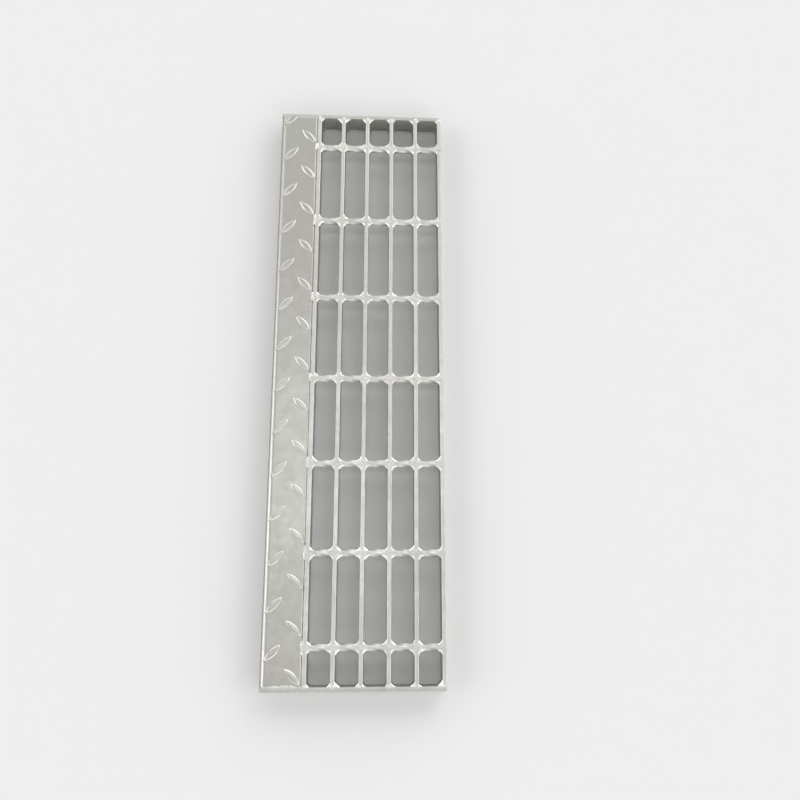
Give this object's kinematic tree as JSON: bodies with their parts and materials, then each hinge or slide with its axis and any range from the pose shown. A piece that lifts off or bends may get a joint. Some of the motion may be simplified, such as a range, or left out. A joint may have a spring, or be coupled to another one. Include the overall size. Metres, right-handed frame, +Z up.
{
  "type": "stair tread",
  "caption": "Galvanised bar-grating stair tread with twisted cross rods, flat end plates and a folded chequer-plate nosing along its front edge.",
  "frame": {"origin": "under the middle of the tread, on the surface that it rests on", "axes": "+X along the tread, -Y towards the front edge with the nosing, +Z up"},
  "size_m": [0.69, 0.2, 0.0265],
  "materials": {
    "bar_zinc": "hot-dip galvanised, satin, lightly weathered",
    "rod_zinc": "hot-dip galvanised, satin, lightly weathered",
    "plate_zinc": "hot-dip galvanised, satin, lightly weathered",
    "nosing_zinc": "hot-dip galvanised, satin, lightly weathered",
    "weld_zinc": "hot-dip galvanised, satin, lightly weathered"
  },
  "bodies": {
    "root": {"bearing_bar_1": "bar_zinc", "bearing_bar_2": "bar_zinc", "bearing_bar_3": "bar_zinc", "bearing_bar_4": "bar_zinc", "bearing_bar_5": "bar_zinc", "bearing_bar_6": "bar_zinc", "cross_rod_1": "rod_zinc", "cross_rod_2": "rod_zinc", "cross_rod_3": "rod_zinc", "cross_rod_4": "rod_zinc", "cross_rod_5": "rod_zinc", "cross_rod_6": "rod_zinc", "cross_rod_7": "rod_zinc", "end_plate_left": "plate_zinc", "end_plate_right": "plate_zinc", "chequer_nosing": "nosing_zinc", "forge_welds_1": "weld_zinc", "forge_welds_2": "weld_zinc", "forge_welds_3": "weld_zinc", "forge_welds_4": "weld_zinc", "forge_welds_5": "weld_zinc", "forge_welds_6": "weld_zinc", "forge_welds_7": "weld_zinc", "end_welds_left": "weld_zinc", "end_welds_right": "weld_zinc", "nosing_stitch_welds": "weld_zinc"}
  },
  "joints": []
}
